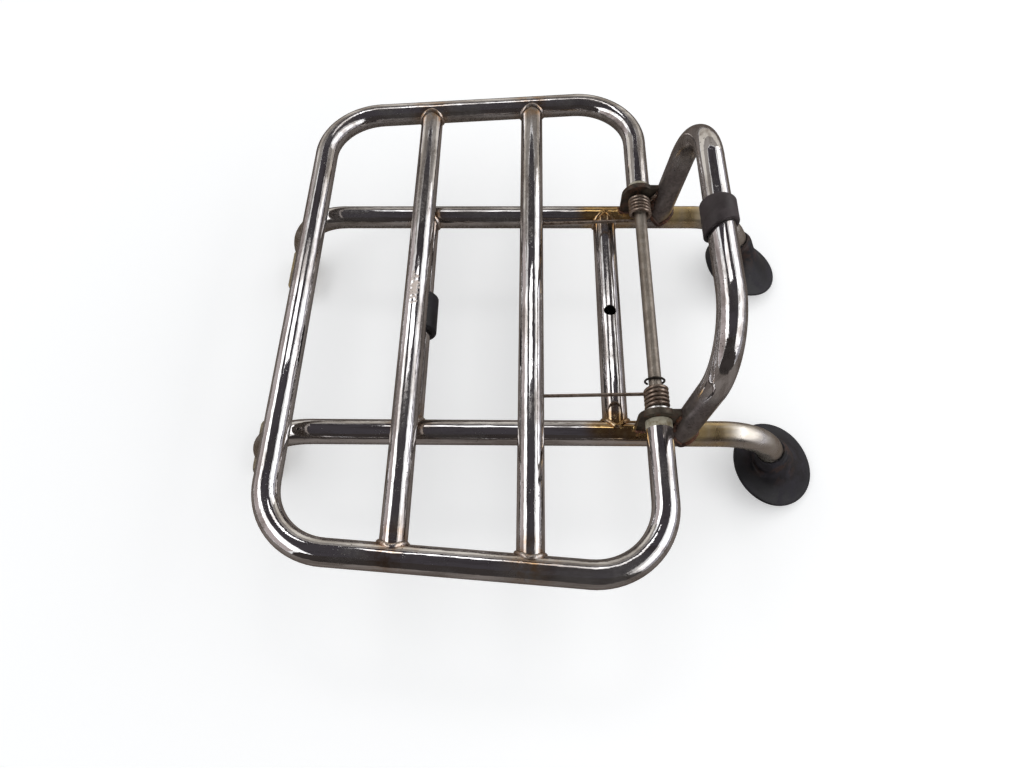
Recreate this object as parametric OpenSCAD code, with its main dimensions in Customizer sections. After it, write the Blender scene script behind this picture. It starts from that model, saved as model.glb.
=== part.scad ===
// Fold-down luggage rack for a scooter, stored folded.
// Two bent arms carry a hoop and two ears. The platform swings on a rod through the ears.
// Working frame: X runs along the arms from the hinge line, with the feet at +X.
// Z = 0 is the level of the arms' centrelines. The part is then moved so that
// its origin is the middle of its footprint, on the surface that it stands on.

/* [Tube] */
// Outside diameter of every tube
tube_d = 16; // [14:0.5:18]
// Wall of every tube
tube_wall = 1.5; // [1:0.1:2.5]
// Radius of every bend, at the tube's centreline
bend_r = 41; // [34:1:46]

/* [Platform] */
// Depth from the hinge line to the free side, between centrelines
platform_depth = 228; // [200:1:260]
// Width along the hinge side, between centrelines
hinge_side_w = 366; // [350:1:400]
// Width along the free side, between centrelines
free_side_w = 333; // [300:1:345]
// Spacing of the two cross bars, counted from the hinge line
bar_pitch = 76; // [66:1:84]
// How much lower than the platform's loop the cross bars sit
bar_drop = 1.4; // [0:0.1:3]

/* [Arms] */
// Distance between the centrelines of the two arms
arm_spacing = 174; // [150:1:190]
// Straight length of an arm behind the hinge line, towards its bracket
arm_back = 213; // [195:1:240]
// Straight length of an arm in front of the hinge line, towards its foot
arm_front = 42; // [34:1:60]
// Straight drop below the bend at the bracket end
bracket_drop = 7; // [4:0.5:14]
// Angle that an arm is bent down at the foot end
foot_bend = 70; // [60:1:80]
// Straight length after the bend at the foot end
foot_tail = 16; // [13:0.5:20]
// Distance of the rear brace behind the hinge line
rear_brace_x = 23; // [18:1:40]
// Diameter of the hole in the top wall of the rear brace
brace_hole_d = 8.3; // [4:0.1:9]

/* [Hoop] */
// Distance of the hoop's feet in front of the hinge line
hoop_x = 16.5; // [15.5:0.5:22]
// Length of the hoop along its legs, between centrelines
hoop_h = 100; // [88:1:125]
// Lean of the hoop away from the platform, in degrees
hoop_lean = 7; // [0:0.5:10]

/* [Hinge] */
// Diameter of the hinge rod
rod_d = 8; // [6:0.5:9]
// Radial running clearance of the rod in its ears and bushes
rod_gap = 0.05; // [0.02:0.01:0.1]
// Length of the rod inside the platform's tube at each end
rod_grip = 14; // [10:1:20]
// Thickness of an ear
ear_t = 4; // [3:0.5:5]
// Radius of an ear's round top
ear_r = 12; // [10:0.5:13]
// Thickness of a bush's flange
bush_flange = 5.3; // [3:0.1:7]
// Length of a bush inside the tube
bush_len = 18; // [12:1:24]

/* [Springs] */
// Diameter of the spring wire
wire_d = 2.2; // [1.6:0.1:2.6]
// Radius of the coils, at the wire's centre
coil_r = 6.6; // [6.2:0.1:7.2]
// Distance from the middle of the rack to the inner end of the left coil
left_start = 71; // [62:0.5:72]
// Distance from the middle of the rack to the inner end of the right coil
right_start = 67; // [62:0.5:68]
// Whole turns in the left spring
left_turns = 5; // [3:1:5]
// Whole turns in the right spring, which has a collar beside it
right_turns = 4; // [2:1:4]
// Width of the collar between the right spring and its ear
collar_w = 3; // [2:0.1:3.4]
// Longest reach of the springs' short legs
short_leg = 12; // [8:0.5:16]

/* [Wire ring] */
// Diameter of the wire of the loose ring on the rod
ring_wire = 1.4; // [1:0.1:1.6]
// Radius of the ring, at the wire's centre
ring_r = 5.9; // [5.2:0.1:6.6]
// Distance of the ring from the inner end of the right coil, towards the middle
ring_away = 6; // [4:0.5:27]
// Opening of the ring, in degrees
ring_open = 70; // [30:5:120]

/* [Rubber] */
// Wall of the rubber sleeve on the front brace
brace_sleeve_wall = 4; // [2.5:0.1:5]
// Length of the rubber sleeve on the front brace
brace_sleeve_len = 28; // [20:1:40]
// Wall of the rubber sleeve on the hoop
hoop_sleeve_wall = 2.2; // [1.5:0.1:5]
// Length of the rubber sleeve on the hoop, along its middle
hoop_sleeve_len = 19; // [14:1:40]
// Offset of the hoop's sleeve from the middle, towards the left
hoop_sleeve_y = 1; // [-10:0.5:10]
// Angle at which the right end of the hoop's sleeve is cut
hoop_sleeve_cut = 24; // [0:1:35]
// Largest radius of a foot
foot_r = 29; // [24:0.5:31]
// Lean of a foot's rim away from the bracket end, in degrees
foot_lean = 15.5; // [4:0.5:18]
// Lean of a foot's rim towards its own side, in degrees
foot_splay = 4.5; // [0:0.5:8]
// How far the left foot's rim sits askew towards the middle
left_foot_slip = 7; // [0:0.5:9]
// Depth of a foot below its widest circle
foot_depth = 5; // [3:0.5:7]
// Radius of the flat underside of a foot
foot_base_r = 26; // [20:0.5:28]
// Distance from the end of the bend to the middle of a foot's rim
foot_reach = 23; // [21:0.5:30]
// Wall of a foot's neck around the tube
neck_wall = 4; // [3:0.5:6]
// Distance from the end of the bend to the top of a foot's cone
cone_top = 12.5; // [8:0.5:14]
// Distance from the end of the bend to the top of a foot's neck
neck_top = 3; // [1:0.5:7]

/* [Brackets] */
// Width of a mounting bracket, along the arms
bracket_w = 20; // [18:1:28]
// Distance of a bracket's middle behind the end of its arm
bracket_shift = 2.5; // [0:0.5:4]
// Thickness of the bracket plate
bracket_t = 3; // [2:0.5:4]
// Length of a bracket across the rack
bracket_len = 39; // [34:1:50]
// Width of the bracket's fold and lip, from the bracket's outer edge
lip_w = 14.5; // [10:0.5:18]
// Radius of the bracket's fold, on its inside
fold_r = 1.5; // [1:0.5:3]
// Radius of the bracket's free corners
corner_r = 5; // [2:0.5:8]
// Diameter of the bolt hole
bolt_d = 8.5; // [5:0.5:9]
// Distance of the bolt hole from the bracket's free edge
bolt_edge = 10; // [7:0.5:11]

/* [Hidden] */

$fn = 96;
// Gap left for the weld at a coped tube end, and around pressed pieces
weld_gap = 0.05;
// Gap between pieces that rest on each other or nearly touch
rest_gap = 0.3;
// How far a cutting shape runs past what it cuts
over = 2;
// How much thicker a bend is than its straight runs, and how far they reach into it
bend_step = 0.05;
bend_lap = 0.5;
tube_r = tube_d / 2;
bore_r = tube_r - tube_wall;
wire_r = wire_d / 2;
arm_y = arm_spacing / 2;
// The folded platform's outer bar rests on the sleeve of the front brace
hinge_h = tube_d + brace_sleeve_wall + rest_gap + bar_drop;
outer_bar_x = 2 * bar_pitch;
taper = atan((hinge_side_w - free_side_w) / 2 / platform_depth);
// Each ear stands on the middle of its arm, and the bush and the stub tube follow outwards
ear_in = arm_y - ear_t / 2;
bush_y = arm_y + ear_t / 2 + rest_gap;
stub_y = bush_y + bush_flange;
// Middle of a foot's rim
tail_x = arm_front + bend_r * sin(foot_bend);
tail_z = -bend_r * (1 - cos(foot_bend));
foot_x = tail_x + foot_reach * cos(foot_bend);
foot_z = tail_z - foot_reach * sin(foot_bend);
// Level of the surface that the rack stands on, and the ends of its footprint
foot_tilt = acos(cos(foot_lean) * cos(foot_splay));
floor_z = foot_z - foot_depth * cos(foot_tilt) - foot_base_r * sin(foot_tilt);
bracket_x = arm_back + bend_r;
bracket_z = -bend_r - bracket_drop;
back_end = -bracket_x - bracket_shift - bracket_w / 2;
front_end = foot_x + foot_r * cos(asin(sin(foot_lean) * cos(foot_splay)));
chrome = [0.78, 0.78, 0.8];
steel = [0.5, 0.46, 0.42];
rubber = [0.17, 0.16, 0.18];
zinc = [0.66, 0.58, 0.4];

// Moves the working frame's solids to the part's origin
module place() {
    translate([-(back_end + front_end) / 2, 0, -floor_z]) children();
}

// Solid rod bent in the XY plane: straight runs from the origin along +X,
// with a turn to the left after each run but the last. The bends are a hair
// thicker and the runs reach a little into them, so that they join as one solid.
module bent_rod(r, runs, turns, i = 0) {
    before = i == 0 ? 0 : bend_lap;
    after = i == len(turns) ? 0 : bend_lap;
    translate([-before, 0, 0]) rotate([0, 90, 0]) cylinder(r = r, h = before + runs[i] + after);
    if (i < len(turns)) {
        translate([runs[i], 0, 0]) {
            translate([0, bend_r, 0]) rotate([0, 0, -90])
                rotate_extrude(angle = turns[i]) translate([bend_r, 0]) circle(r = r + bend_step);
            translate([bend_r * sin(turns[i]), bend_r * (1 - cos(turns[i])), 0])
                rotate([0, 0, turns[i]]) bent_rod(r, runs, turns, i + 1);
        }
    }
}

// Hollow tube along the same path, open at both ends
module bent_tube(runs, turns) {
    last = len(runs) - 1;
    longer = [for (i = [0:last]) runs[i] + (i == 0 ? over : 0) + (i == last ? over : 0)];
    difference() {
        bent_rod(tube_r, runs, turns);
        translate([-over, 0, 0]) bent_rod(bore_r, longer, turns);
    }
}

// Straight hollow tube across the rack, from one side to the other
module cross_tube(half) {
    rotate([90, 0, 0]) difference() {
        cylinder(r = tube_r, h = 2 * half, center = true);
        cylinder(r = bore_r, h = 2 * half + over, center = true);
    }
}

// Solid along an arm's straight, which cuts the ends of what is welded to it
module arm_core(gap) {
    for (y = [-arm_y, arm_y])
        translate([-arm_back, y, 0]) rotate([0, 90, 0])
            cylinder(r = tube_r + gap, h = arm_back + arm_front);
}

// Path of the hoop's solid core, leaning forward from the arms
module hoop_core(r) {
    translate([hoop_x, 0, 0]) rotate([0, hoop_lean, 0]) translate([0, arm_y, 0])
        rotate([90, 0, 90]) rotate([0, 0, 90])
            bent_rod(r, [hoop_h - bend_r, arm_spacing - 2 * bend_r, hoop_h - bend_r], [90, 90]);
}

// Bent arm, from its bracket up, along the rack and down into its foot
module arm() {
    color(chrome) translate([-bracket_x, arm_y, bracket_z]) rotate([90, 0, 0]) rotate([0, 0, 90])
        mirror([0, 1, 0])
            bent_tube([bracket_drop, arm_back + arm_front, foot_tail], [90, foot_bend]);
}

module front_brace() {
    color(chrome) difference() {
        translate([-outer_bar_x, 0, 0]) cross_tube(arm_y);
        arm_core(weld_gap);
    }
}

module rear_brace() {
    color(chrome) difference() {
        translate([-rear_brace_x, 0, 0]) cross_tube(arm_y);
        arm_core(weld_gap);
        translate([-rear_brace_x, 0, 0]) cylinder(d = brace_hole_d, h = tube_d);
    }
}

module hoop() {
    color(chrome) difference() {
        hoop_core(tube_r);
        hoop_core(bore_r);
        arm_core(weld_gap);
    }
}

// Plate that carries the rod, welded on top of an arm and against the hoop's leg
module ear() {
    color(steel) difference() {
        translate([0, arm_y, 0]) rotate([90, 0, 0]) {
            translate([0, hinge_h, 0]) cylinder(r = ear_r, h = ear_t, center = true);
            translate([-ear_r, 0, -ear_t / 2]) cube([2 * ear_r, hinge_h, ear_t]);
            translate([0, 0, -ear_t / 2]) cube([hoop_x, hinge_h + 0.8 * ear_r, ear_t]);
        }
        arm_core(weld_gap);
        hoop_core(tube_r + weld_gap);
        translate([0, arm_y, hinge_h]) rotate([90, 0, 0])
            cylinder(r = rod_d / 2 + rod_gap, h = ear_t + over, center = true);
    }
}

// Folded plate under the end of an arm, with a bolt hole in its tab and a lip to the surface
module bracket() {
    outer = arm_y + tube_r;
    fold = fold_r + bracket_t;
    tab = bracket_len - fold;
    color(zinc) translate([-bracket_x - bracket_shift, outer, bracket_z]) {
        difference() {
            translate([0, 0, -bracket_t]) linear_extrude(bracket_t) difference() {
                union() {
                    translate([-bracket_w / 2, -fold - tab + corner_r]) square([bracket_w, tab - corner_r]);
                    translate([-bracket_w / 2 + corner_r, -bracket_len])
                        square([bracket_w - 2 * corner_r, tab]);
                    for (s = [-1, 1])
                        translate([s * (bracket_w / 2 - corner_r), -bracket_len + corner_r]) circle(r = corner_r);
                }
                translate([0, -bracket_len + bolt_edge]) circle(d = bolt_d);
            }
        }
        translate([-bracket_w / 2, -fold, -fold]) rotate([0, 90, 0]) rotate([0, 0, 90])
            rotate_extrude(angle = 90) translate([fold_r, 0]) square([bracket_t, lip_w]);
        translate([-bracket_w / 2, -bracket_t, floor_z - bracket_z])
            cube([lip_w, bracket_t, bracket_z - floor_z - fold]);
    }
}

// Rubber foot: a low domed rim that leans with the ground, a cone, and a neck in line with
// the tube. The rim can sit askew by slip.
module foot(slip) {
    neck_r = tube_r + neck_wall;
    color(rubber) difference() {
        translate([foot_x, arm_y, foot_z]) {
            translate([0, -slip, 0]) rotate([-foot_splay, foot_lean, 0]) rotate_extrude() polygon([
                [0, -1], [foot_r - 9, -1], [foot_r - 8, -foot_depth], [foot_base_r, -foot_depth],
                [foot_r, -foot_depth / 2], [foot_r, 0], [foot_r - 4, 2.5], [foot_r - 10, 4.5], [0, 4.5]
            ]);
            hull() {
                translate([0, -slip, 0]) rotate([-foot_splay, foot_lean, 0]) translate([0, 0, 1])
                    cylinder(r = foot_r - 10, h = 2.5, $fn = 48);
                rotate([0, foot_bend - 90, 0]) translate([0, 0, foot_reach - cone_top - 3])
                    cylinder(r1 = neck_r, r2 = neck_r - 1, h = 3, $fn = 48);
            }
            rotate([0, foot_bend - 90, 0]) translate([0, 0, foot_reach - cone_top - 2])
                cylinder(r = neck_r, h = cone_top - neck_top + 2);
        }
        translate([tail_x, arm_y, tail_z]) rotate([0, 180 - (90 - foot_bend), 0])
            cylinder(r = tube_r + weld_gap, h = foot_tail + rest_gap);
    }
}

// Rubber sleeve around a tube along Y, from y1 to y2, with chamfered ends
module sleeve(wall, y1, y2) {
    chamfer = 1;
    color(rubber) rotate([-90, 0, 0]) rotate_extrude() translate([tube_r + weld_gap, 0]) polygon([
        [0, y1], [wall - chamfer, y1], [wall, y1 + chamfer],
        [wall, y2 - chamfer], [wall - chamfer, y2], [0, y2]
    ]);
}

module brace_sleeve() {
    translate([-outer_bar_x, 0, 0])
        sleeve(brace_sleeve_wall, -brace_sleeve_len / 2, brace_sleeve_len / 2);
}

// This sleeve's right end is cut off at a slant
module hoop_sleeve() {
    wide = 2 * (tube_r + hoop_sleeve_wall + over);
    extra = wide / 2 * tan(hoop_sleeve_cut) + over;
    translate([hoop_x + hoop_h * sin(hoop_lean), hoop_sleeve_y, hoop_h * cos(hoop_lean)]) difference() {
        sleeve(hoop_sleeve_wall, -hoop_sleeve_len / 2 - extra, hoop_sleeve_len / 2);
        translate([0, -hoop_sleeve_len / 2, 0]) rotate([0, 0, hoop_sleeve_cut])
            translate([-wide, -2 * wide, -wide]) cube([2 * wide, 2 * wide, 2 * wide]);
    }
}

module hinge_rod() {
    color(steel) translate([0, 0, hinge_h]) rotate([90, 0, 0])
        cylinder(d = rod_d, h = 2 * (stub_y + rod_grip), center = true);
}

// Loose open ring of wire that hangs on the rod beside the right spring
module rod_ring() {
    hang = ring_r - ring_wire / 2 - rod_d / 2 - weld_gap;
    ring_y = coil_start(right_turns, right_start, right_end, right_angle) - ring_away;
    color(steel) translate([0, -ring_y, hinge_h - hang]) rotate([90, 0, 0]) rotate([0, 0, ring_open / 2 - 45])
        rotate_extrude(angle = 360 - ring_open) translate([ring_r, 0]) circle(d = ring_wire);
}

module spring_collar() {
    color(chrome) translate([0, -ear_in + weld_gap, hinge_h]) rotate([-90, 0, 0]) difference() {
        cylinder(r = coil_r + wire_r, h = collar_w);
        translate([0, 0, -over / 2]) cylinder(r = rod_d / 2 + rod_gap, h = collar_w + over);
    }
}

// The long leg of a spring lies under the inner bar and touches the coil's circle
leg_end = [-bar_pitch - tube_r / 2, -(bar_drop + tube_r + wire_r + rest_gap)];
leg_angle = atan2(leg_end[1], leg_end[0]) + acos(coil_r / norm(leg_end));
// The left short leg leaves on the hoop's side and points up at the hoop's leg,
// the right one leaves below the rod and points down at its foot
left_angle = -31;
right_angle = 240;
// Distance of a coil's outer end from the middle, beside the ear or the collar
left_end = ear_in - wire_r - rest_gap;
right_end = ear_in - collar_w - wire_r - 2 * rest_gap;
coil_steps = 18;
// Least gap between the turns of a coil, which then starts nearer the middle
coil_gap = 0.1;
wire_sides = 8;

// Length of a short leg that leaves the coil at an angle, ending just clear of the hoop's leg
function short_reach(y, angle) =
    let (clear = tube_r + wire_r + rest_gap)
    let (gap = sqrt(max(0, clear * clear - (arm_y - y) * (arm_y - y))))
    let (start = (coil_r * cos(angle) - hoop_x) * cos(hoop_lean) - (hinge_h + coil_r * sin(angle)) * sin(hoop_lean))
    let (rate = -sin(angle) * cos(hoop_lean) - cos(angle) * sin(hoop_lean))
    max(wire_d, min(short_leg, (-gap - start) / rate));

// Angle through which a coil runs from its long leg to its short leg
function coil_sweep(turns, angle) = angle - leg_angle + 360 * (turns + (angle < leg_angle ? 1 : 0));

// Distance of a coil's inner end from the middle, with room for all its turns
function coil_start(turns, start, y_end, angle) =
    min(start, y_end - coil_sweep(turns, angle) / 360 * (wire_d + coil_gap));

// Points along the middle of a spring's wire, from the long leg's end to the short leg's end
function spring_path(turns, start, y_end, angle) =
    let (sweep = coil_sweep(turns, angle))
    let (y_start = coil_start(turns, start, y_end, angle))
    let (n = ceil(sweep / 360 * coil_steps))
    let (reach = short_reach(y_end, angle))
    concat(
        [[leg_end[0], y_start, leg_end[1]]],
        [for (i = [0:n]) [
            coil_r * cos(leg_angle + sweep * i / n),
            y_start + (y_end - y_start) * i / n,
            coil_r * sin(leg_angle + sweep * i / n)
        ]],
        [[coil_r * cos(angle) - reach * sin(angle), y_end, coil_r * sin(angle) + reach * cos(angle)]]
    );

// Ring of points around the wire at point i of a path that never runs along Y
function wire_ring(p, i) =
    let (t = p[min(i + 1, len(p) - 1)] - p[max(i - 1, 0)])
    let (u = t / norm(t))
    let (a = [0, 1, 0] - u[1] * u)
    let (b = a / norm(a))
    let (c = cross(u, b))
    [for (k = [0:wire_sides - 1]) p[i] + wire_r * (cos(360 * k / wire_sides) * b + sin(360 * k / wire_sides) * c)];

// Round wire swept along a path
module wire(p) {
    n = len(p);
    m = wire_sides;
    points = [for (i = [0:n - 1]) each wire_ring(p, i)];
    walls = [for (i = [0:n - 2], k = [0:m - 1]) let (a = i * m + k, b = i * m + (k + 1) % m)
        each [[a, a + m, b], [b, a + m, b + m]]];
    ends = [[for (k = [0:m - 1]) k], [for (k = [m - 1:-1:0]) (n - 1) * m + k]];
    polyhedron(points = points, faces = concat(walls, ends), convexity = 6);
}

// Torsion spring around the rod, with its coil between distances start and y_end from the middle
module spring(turns, start, y_end, angle) {
    color(steel) translate([0, 0, hinge_h]) wire(spring_path(turns, start, y_end, angle));
}

module left_spring() {
    spring(left_turns, left_start, left_end, left_angle);
}

module right_spring() {
    mirror([0, 1, 0]) spring(right_turns, right_start, right_end, right_angle);
}

// Tube around the platform, open along the hinge between its two stubs
module platform_loop() {
    corner_hinge = bend_r * tan((90 + taper) / 2);
    corner_free = bend_r * tan((90 - taper) / 2);
    stub = hinge_side_w / 2 - stub_y - corner_hinge;
    flank = platform_depth / cos(taper) - corner_hinge - corner_free;
    color(chrome) for (right = [0, 1]) mirror([0, right, 0]) translate([0, stub_y, hinge_h])
        rotate([0, 0, 90])
            bent_tube([stub, flank, free_side_w / 2 - corner_free], [90 + taper, 90 - taper]);
}

// Cross bar of the platform, with its ends coped to the loop's slanting flanks. It sits lower than
// they do, so its top meets a flank before the flank's middle, and it ends just past that line.
module cross_bar(x) {
    meets = sqrt(tube_r * tube_r - pow(tube_r - bar_drop, 2));
    color(chrome) difference() {
        translate([-x, 0, hinge_h - bar_drop])
            cross_tube(hinge_side_w / 2 - x * tan(taper) - max(0, meets - 0.5));
        for (s = [-1, 1])
            translate([0, s * hinge_side_w / 2, hinge_h]) rotate([0, 0, s * taper]) rotate([0, -90, 0])
                cylinder(r = tube_r + weld_gap, h = platform_depth);
    }
}

module inner_bar() {
    cross_bar(bar_pitch);
}

module outer_bar() {
    cross_bar(outer_bar_x);
}

// Plastic bush in the end of a stub tube, with a flange against the ear
module bush() {
    color([0.72, 0.68, 0.58]) translate([0, bush_y, hinge_h]) rotate([-90, 0, 0]) difference() {
        union() {
            cylinder(r = tube_r, h = bush_flange - weld_gap);
            cylinder(r = bore_r - weld_gap, h = bush_flange + bush_len);
        }
        translate([0, 0, -over / 2]) cylinder(r = rod_d / 2 + rod_gap, h = bush_flange + bush_len + over);
    }
}

place() arm();  // left_arm
place() mirror([0, 1, 0]) arm();  // right_arm
place() front_brace();
place() rear_brace();
place() hoop();
place() ear();  // left_ear
place() mirror([0, 1, 0]) ear();  // right_ear
place() bracket();  // left_bracket
place() mirror([0, 1, 0]) bracket();  // right_bracket
place() foot(left_foot_slip);  // left_foot
place() mirror([0, 1, 0]) foot(0);  // right_foot
place() brace_sleeve();
place() hoop_sleeve();
place() hinge_rod();
place() rod_ring();
place() spring_collar();
place() left_spring();
place() right_spring();
place() platform_loop();
place() inner_bar();
place() outer_bar();
place() bush();  // left_bush
place() mirror([0, 1, 0]) bush();  // right_bush
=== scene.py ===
# %% [markdown]
# # A fold-down luggage rack in worn chrome
# The rack is bent from chromed tube, and its platform folds on a sprung hinge. The solids were built
# elsewhere and are loaded once. This lesson leaves them where they are and adds what a solid model lacks:
# round spring wire, weld beads, soft rubber, worn finishes, light and a camera.

# %% Load the frame
import math
from functools import reduce
from math import comb
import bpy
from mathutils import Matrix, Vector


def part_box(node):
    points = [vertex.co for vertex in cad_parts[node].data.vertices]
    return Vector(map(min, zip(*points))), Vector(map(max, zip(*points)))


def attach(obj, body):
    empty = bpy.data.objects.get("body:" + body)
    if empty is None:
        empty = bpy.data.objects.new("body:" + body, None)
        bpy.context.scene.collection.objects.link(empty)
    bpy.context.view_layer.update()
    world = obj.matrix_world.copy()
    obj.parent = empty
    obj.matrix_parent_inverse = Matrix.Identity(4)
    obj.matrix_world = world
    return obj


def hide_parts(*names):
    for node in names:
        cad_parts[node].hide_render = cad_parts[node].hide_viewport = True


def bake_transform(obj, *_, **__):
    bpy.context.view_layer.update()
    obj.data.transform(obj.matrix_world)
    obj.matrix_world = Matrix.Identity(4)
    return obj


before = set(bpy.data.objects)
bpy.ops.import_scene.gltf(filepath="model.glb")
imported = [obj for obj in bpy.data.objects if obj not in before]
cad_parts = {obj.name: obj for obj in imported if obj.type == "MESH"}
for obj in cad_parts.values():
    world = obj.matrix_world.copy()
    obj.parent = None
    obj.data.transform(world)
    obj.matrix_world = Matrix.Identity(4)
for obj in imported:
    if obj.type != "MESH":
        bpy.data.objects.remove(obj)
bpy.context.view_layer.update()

from types import SimpleNamespace

import bmesh
import bpy
import numpy as np
from mathutils import Matrix, Vector

# %% [markdown]
# ## Measure before making
# A new piece has to sit on what carries it. So the sizes it needs, such as where the hinge runs and how
# thick the tubes are, are read from the loaded solids and written down once. From here on a place is said
# in millimetres from the hinge line, the middle and the arms' centrelines, as a maker would measure it.
# A box doesn't tell a slant. So the hoop's foot and lean, and the platform's sides, which start FLANK_Y out
# at the hinge and come in by FLANK_RISE over a length of FLANK_RUN, are given as numbers.

# %% Measure the rack
MM = 0.001


def middle(name):
    """The middle of a solid's box, in metres."""
    low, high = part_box(name)
    return (np.array(low) + np.array(high)) / 2


def extent(name):
    """The three sides of a solid's box, in metres."""
    low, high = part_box(name)
    return np.array(high) - np.array(low)


HINGE = middle("hinge_rod")
TUBE_R = extent("inner_bar")[0] / 2 / MM
ARM_Y = middle("left_arm")[1] / MM
ORIGIN = np.array([HINGE[0], 0, middle("front_brace")[2]])
HINGE_Z = (HINGE[2] - ORIGIN[2]) / MM
BAR_Z = (middle("inner_bar")[2] - ORIGIN[2]) / MM
HOOP_X, HOOP_LEAN = 16.5, math.radians(7)
FLANK_Y, FLANK_RISE, FLANK_RUN = 183, 16.5, 228
print("tube radius", round(TUBE_R, 2), "arms at", round(ARM_Y, 2))
print("hinge height", round(HINGE_Z, 2), "bars' height", round(BAR_Z, 2))


def at(x, y, z):
    """The same place in metres, in the rack's own frame. Takes numbers or whole arrays."""
    return ORIGIN + np.stack(np.broadcast_arrays(x, y, z), -1) * MM


def place_x(name):
    """How far a solid's middle is in front of the hinge, in millimetres."""
    return (middle(name)[0] - HINGE[0]) / MM


# %% [markdown]
# ## A small bench for finishes
# A finish is a graph of nodes. Written out by hand such graphs get long, so this class keeps the few
# steps that every finish here uses: read the place, make noise, turn it into a mask, mix, and bump.
# All patterns read Object coordinates, which are metres on the rack, so a scale of 500 means features of
# about two millimetres.

# %% The bench for finishes
class Finish:
    """One material with a Principled shader, whose masks are numbers from 0 to 1."""

    def __init__(self, name, **sockets):
        self.material = bpy.data.materials.new(name)
        self.material.use_nodes = True
        self.tree = self.material.node_tree
        self.shader = self.tree.nodes["Principled BSDF"]
        spot = self.tree.nodes.new("ShaderNodeTexCoord")
        self.place, self.facing = spot.outputs["Object"], spot.outputs["Normal"]
        self.set(**sockets)

    def node(self, kind, **inputs):
        """Adds a node and fills its inputs, by name or number, with values or other nodes' outputs."""
        made = self.tree.nodes.new("ShaderNode" + kind)
        for key, value in inputs.items():
            number = key[0] == "i" and key[1:].isdigit()
            self.fill(made.inputs[int(key[1:]) if number else key.replace("_", " ")], value)
        return made

    def fill(self, socket, value):
        """Links another node's output to a socket, or sets the socket's own value."""
        if isinstance(value, bpy.types.NodeSocket):
            self.tree.links.new(value, socket)
        else:
            socket.default_value = value

    def stretched(self, x=1, y=1, z=1, shift=0):
        """The place, scaled along the axes: a smaller number makes a pattern longer that way."""
        made = self.node("Mapping", Vector=self.place, Scale=(x, y, z), Location=(shift, shift, shift))
        return made.outputs[0]

    def noise(self, scale, detail=3, rough=0.55, bend=0.0, place=None):
        """Cloudy numbers round 0.5. bend twists them."""
        return self.node("TexNoise", Vector=place or self.place, Scale=scale, Detail=detail,
                         Roughness=rough, Distortion=bend).outputs["Fac"]

    def cells(self, scale, place=None):
        """The distance to the nearest of many scattered points, for pits."""
        return self.node("TexVoronoi", Vector=place or self.place, Scale=scale).outputs["Distance"]

    def sum(self, how, a, b=0.5):
        """One step of arithmetic, by Blender's name for it. b is left out where only one number is used."""
        made = self.node("Math", i0=a, i1=b)
        made.operation = how
        return made.outputs[0]

    def times(self, a, b):
        return self.sum("MULTIPLY", a, b)

    def plus(self, a, b):
        return self.sum("ADD", a, b)

    def most(self, *values):
        """The largest of several numbers."""
        return reduce(lambda a, b: self.sum("MAXIMUM", a, b), values)

    def mask(self, value, low, high, to_low=0.0, to_high=1.0):
        """0 below low and 1 above high, with a smooth step between. Low above high turns it round."""
        if low > high:
            low, high, to_low, to_high = high, low, to_high, to_low
        made = self.node("MapRange", Value=value, From_Min=low, From_Max=high, To_Min=to_low, To_Max=to_high)
        made.interpolation_type = "SMOOTHSTEP"
        return made.outputs["Result"]

    def mix(self, how_much, under, over):
        """Colours: under where the mask is 0, over where it is 1."""
        made = self.node("Mix")
        made.data_type = "RGBA"
        for number, value in ((0, how_much), (6, under), (7, over)):
            self.fill(made.inputs[number], (*value, 1) if isinstance(value, tuple) else value)
        return made.outputs[2]

    def between(self, how_much, low, high):
        """Numbers: low where the mask is 0, high where it is 1."""
        return self.plus(low, self.times(how_much, self.sum("SUBTRACT", high, low)))

    def part(self, vector, axis):
        """One of a vector's three numbers."""
        return self.node("SeparateXYZ", Vector=vector).outputs[axis]

    def both_sides(self):
        """The place with the right side folded onto the left, so that one point stands for two."""
        x, y, z = (self.part(self.place, axis) for axis in range(3))
        return self.node("CombineXYZ", X=x, Y=self.sum("ABSOLUTE", y), Z=z).outputs[0]

    def near(self, points, reach, place=None):
        """A mask that is 1 at the given points and falls to 0 at the reach from them, in millimetres."""
        total = 0.0
        for point in points:
            gap = self.node("VectorMath", i0=place or self.place, i1=tuple(float(c) for c in point))
            gap.operation = "DISTANCE"
            total = self.most(self.mask(gap.outputs["Value"], reach * MM, reach * MM * 0.2), total)
        return total

    def bump(self, height, depth, strength=1.0):
        """Tips the light as if the surface rose by depth millimetres where the height is 1."""
        made = self.node("Bump", Strength=strength, Distance=depth * MM, Height=height)
        self.fill(self.shader.inputs["Normal"], made.outputs[0])

    def set(self, **inputs):
        """Fills the shader's own sockets. A colour is given by its three parts."""
        for key, value in inputs.items():
            value = (*value, 1) if isinstance(value, tuple) else value
            self.fill(self.shader.inputs[key.replace("_", " ")], value)
        return self


def dress(material, *names):
    """Gives loaded solids a finish."""
    for name in names:
        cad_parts[name].data.materials[0] = material
    print(material.name, "on", len(names), "solids")
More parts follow.
